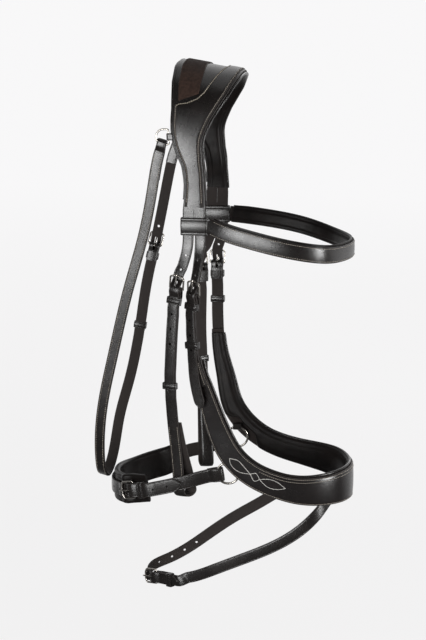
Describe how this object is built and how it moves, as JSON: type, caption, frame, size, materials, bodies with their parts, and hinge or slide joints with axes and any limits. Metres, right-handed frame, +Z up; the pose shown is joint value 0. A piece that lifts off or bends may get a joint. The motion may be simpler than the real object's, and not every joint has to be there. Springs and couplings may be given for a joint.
{
  "type": "horse bridle",
  "caption": "Leather horse bridle with padded headpiece, browband, buckled cheekpieces, wide padded noseband with flash strap, padded chin strap and throatlatch.",
  "frame": {"origin": "middle of the underside of the headpiece's padding, where it rests on the poll", "axes": "+X forward to the nose, +Y to the horse's left, +Z up"},
  "size_m": [0.3067, 0.1705, 0.635],
  "materials": {
    "black_leather": "dark brown-black bridle leather, half gloss, with waxed edges",
    "soft_leather": "soft black lining leather over foam, matt with fine creases",
    "brown_elastic": "ribbed dark brown elastic webbing",
    "steel": "polished stainless steel"
  },
  "bodies": {
    "headpiece": {"headpiece": "black_leather", "headpiece_padding": "soft_leather", "headpiece_facing": "black_leather", "headpiece_elastic": "brown_elastic", "right_throat_ring_tab": "black_leather", "left_throat_ring_tab": "black_leather", "right_throat_ring": "steel", "left_throat_ring": "steel"},
    "browband": {"browband": "black_leather", "browband_padding": "soft_leather", "right_browband_loop": "black_leather", "left_browband_loop": "black_leather"},
    "right_cheekpiece": {"right_cheekpiece": "black_leather", "right_cheek_billet_tail": "black_leather", "right_cheek_buckle": "steel", "right_cheek_keeper": "black_leather"},
    "right_cheek_tongue": {"right_cheek_tongue": "steel"},
    "right_cheek_runner": {"right_cheek_runner": "black_leather"},
    "left_cheekpiece": {"left_cheekpiece": "black_leather", "left_cheek_billet_tail": "black_leather", "left_cheek_buckle": "steel", "left_cheek_keeper": "black_leather"},
    "left_cheek_tongue": {"left_cheek_tongue": "steel"},
    "left_cheek_runner": {"left_cheek_runner": "black_leather"},
    "noseband": {"noseband": "black_leather", "noseband_padding": "soft_leather", "right_noseband_hanger": "black_leather", "right_noseband_billet_tail": "black_leather", "right_noseband_buckle": "steel", "right_noseband_keeper": "black_leather", "left_noseband_hanger": "black_leather", "left_noseband_billet_tail": "black_leather", "left_noseband_buckle": "steel", "left_noseband_keeper": "black_leather", "right_noseband_ring_tab": "black_leather", "left_noseband_ring_tab": "black_leather", "flash_loop": "black_leather"},
    "right_noseband_tongue": {"right_noseband_tongue": "steel"},
    "left_noseband_tongue": {"left_noseband_tongue": "steel"},
    "right_noseband_runner": {"right_noseband_runner": "black_leather"},
    "left_noseband_runner": {"left_noseband_runner": "black_leather"},
    "right_noseband_ring": {"right_noseband_ring": "steel"},
    "left_noseband_ring": {"left_noseband_ring": "steel"},
    "chin_strap": {"chin_strap": "black_leather", "chin_billet": "black_leather", "chin_pad": "soft_leather", "chin_buckle": "steel", "chin_keeper": "black_leather"},
    "chin_tongue": {"chin_tongue": "steel"},
    "flash_strap": {"flash_strap": "black_leather", "flash_buckle": "steel"},
    "flash_tongue": {"flash_tongue": "steel"},
    "flash_keeper": {"flash_keeper": "black_leather"},
    "throatlatch": {"throatlatch": "black_leather", "throatlatch_billet": "black_leather", "throatlatch_buckle": "steel", "throatlatch_keeper": "black_leather"},
    "throatlatch_tongue": {"throatlatch_tongue": "steel"},
    "throatlatch_runner": {"throatlatch_runner": "black_leather"}
  },
  "joints": [
    {"name": "browband_slide", "type": "slide", "parent": "headpiece", "child": "browband", "axis": [-0.0142, -0.0013, 0.9999], "range_m": [-0.005, 0.005]},
    {"name": "right_cheek_swing", "type": "hinge", "parent": "headpiece", "child": "right_cheekpiece", "pos_m": [-0.02476, -0.07436, -0.22636], "axis": [0.9492, -0.2825, -0.1388], "range_deg": [0, 12]},
    {"name": "right_cheek_tongue_lift", "type": "hinge", "parent": "right_cheekpiece", "child": "right_cheek_tongue", "pos_m": [-0.02704, -0.07473, -0.24118], "axis": [0.9492, -0.2825, -0.1388], "range_deg": [0, 8]},
    {"name": "right_cheek_runner_slide", "type": "slide", "parent": "right_cheekpiece", "child": "right_cheek_runner", "axis": [-0.0066, 0.0789, -0.9969], "range_m": [-0.006, 0.006]},
    {"name": "left_cheek_swing", "type": "hinge", "parent": "headpiece", "child": "left_cheekpiece", "pos_m": [-0.02559, 0.06805, -0.22593], "axis": [-0.6872, -0.7261, 0.0226], "range_deg": [0, 12]},
    {"name": "left_cheek_tongue_lift", "type": "hinge", "parent": "left_cheekpiece", "child": "left_cheek_tongue", "pos_m": [-0.02599, 0.06796, -0.24093], "axis": [-0.6872, -0.7261, 0.0226], "range_deg": [0, 8]},
    {"name": "left_cheek_runner_slide", "type": "slide", "parent": "left_cheekpiece", "child": "left_cheek_runner", "axis": [0.0391, -0.0345, -0.9986], "range_m": [-0.006, 0.006]},
    {"name": "noseband_swing", "type": "hinge", "parent": "headpiece", "child": "noseband", "pos_m": [-0.00478, -0.07672, -0.23194], "axis": [0.0206, -0.998, -0.0593], "range_deg": [0, 5]},
    {"name": "right_noseband_tongue_lift", "type": "hinge", "parent": "noseband", "child": "right_noseband_tongue", "pos_m": [-0.00646, -0.07693, -0.24684], "axis": [0.8611, -0.5005, -0.0898], "range_deg": [0, 8]},
    {"name": "left_noseband_tongue_lift", "type": "hinge", "parent": "noseband", "child": "left_noseband_tongue", "pos_m": [-0.00807, 0.07509, -0.23794], "axis": [-0.9999, 0.0077, 0.012], "range_deg": [0, 8]},
    {"name": "right_noseband_runner_slide", "type": "slide", "parent": "noseband", "child": "right_noseband_runner", "axis": [0.0681, 0.0154, -0.9976], "range_m": [-0.006, 0.006]},
    {"name": "left_noseband_runner_slide", "type": "slide", "parent": "noseband", "child": "left_noseband_runner", "axis": [-0.001, 0.0179, -0.9998], "range_m": [-0.006, 0.006]},
    {"name": "right_noseband_ring_turn", "type": "hinge", "parent": "noseband", "child": "right_noseband_ring", "pos_m": [0.03064, -0.06011, -0.46093], "axis": [-0.0921, 0.9924, 0.0819], "range_deg": [-40, 40]},
    {"name": "left_noseband_ring_turn", "type": "hinge", "parent": "noseband", "child": "left_noseband_ring", "pos_m": [0.01932, 0.0618, -0.45087], "axis": [-0.0921, 0.9924, 0.0819], "range_deg": [-40, 40]},
    {"name": "chin_strap_swing", "type": "hinge", "parent": "noseband", "child": "chin_strap", "pos_m": [0.03064, -0.06011, -0.46093], "axis": [0.0921, -0.9924, -0.0819], "range_deg": [0, 12]},
    {"name": "chin_tongue_lift", "type": "hinge", "parent": "chin_strap", "child": "chin_tongue", "pos_m": [-0.08251, -0.0582, -0.48834], "axis": [-0.1703, 0.0791, 0.9822], "range_deg": [0, 8]},
    {"name": "flash_strap_swing", "type": "hinge", "parent": "noseband", "child": "flash_strap", "pos_m": [0.1514, 0.00019, -0.49258], "axis": [0, -1, 0], "range_deg": [-2, 12]},
    {"name": "flash_tongue_lift", "type": "hinge", "parent": "flash_strap", "child": "flash_tongue", "pos_m": [-0.06488, -0.01631, -0.6095], "axis": [-0.0596, 0.035, 0.9976], "range_deg": [0, 8]},
    {"name": "flash_keeper_slide", "type": "slide", "parent": "flash_strap", "child": "flash_keeper", "axis": [0.8599, -0.5058, 0.0691], "range_m": [-0.001, 0.003]},
    {"name": "throatlatch_swing", "type": "hinge", "parent": "headpiece", "child": "throatlatch", "pos_m": [-0.04343, 0, -0.06797], "axis": [0, 1, 0], "range_deg": [0, 35]},
    {"name": "throatlatch_tongue_lift", "type": "hinge", "parent": "throatlatch", "child": "throatlatch_tongue", "pos_m": [-0.08118, 0.05547, -0.21521], "axis": [-0.9718, -0.0958, 0.2156], "range_deg": [0, 8]},
    {"name": "throatlatch_runner_slide", "type": "slide", "parent": "throatlatch", "child": "throatlatch_runner", "axis": [0.1478, 0.0351, 0.9884], "range_m": [-0.006, 0.006]}
  ]
}
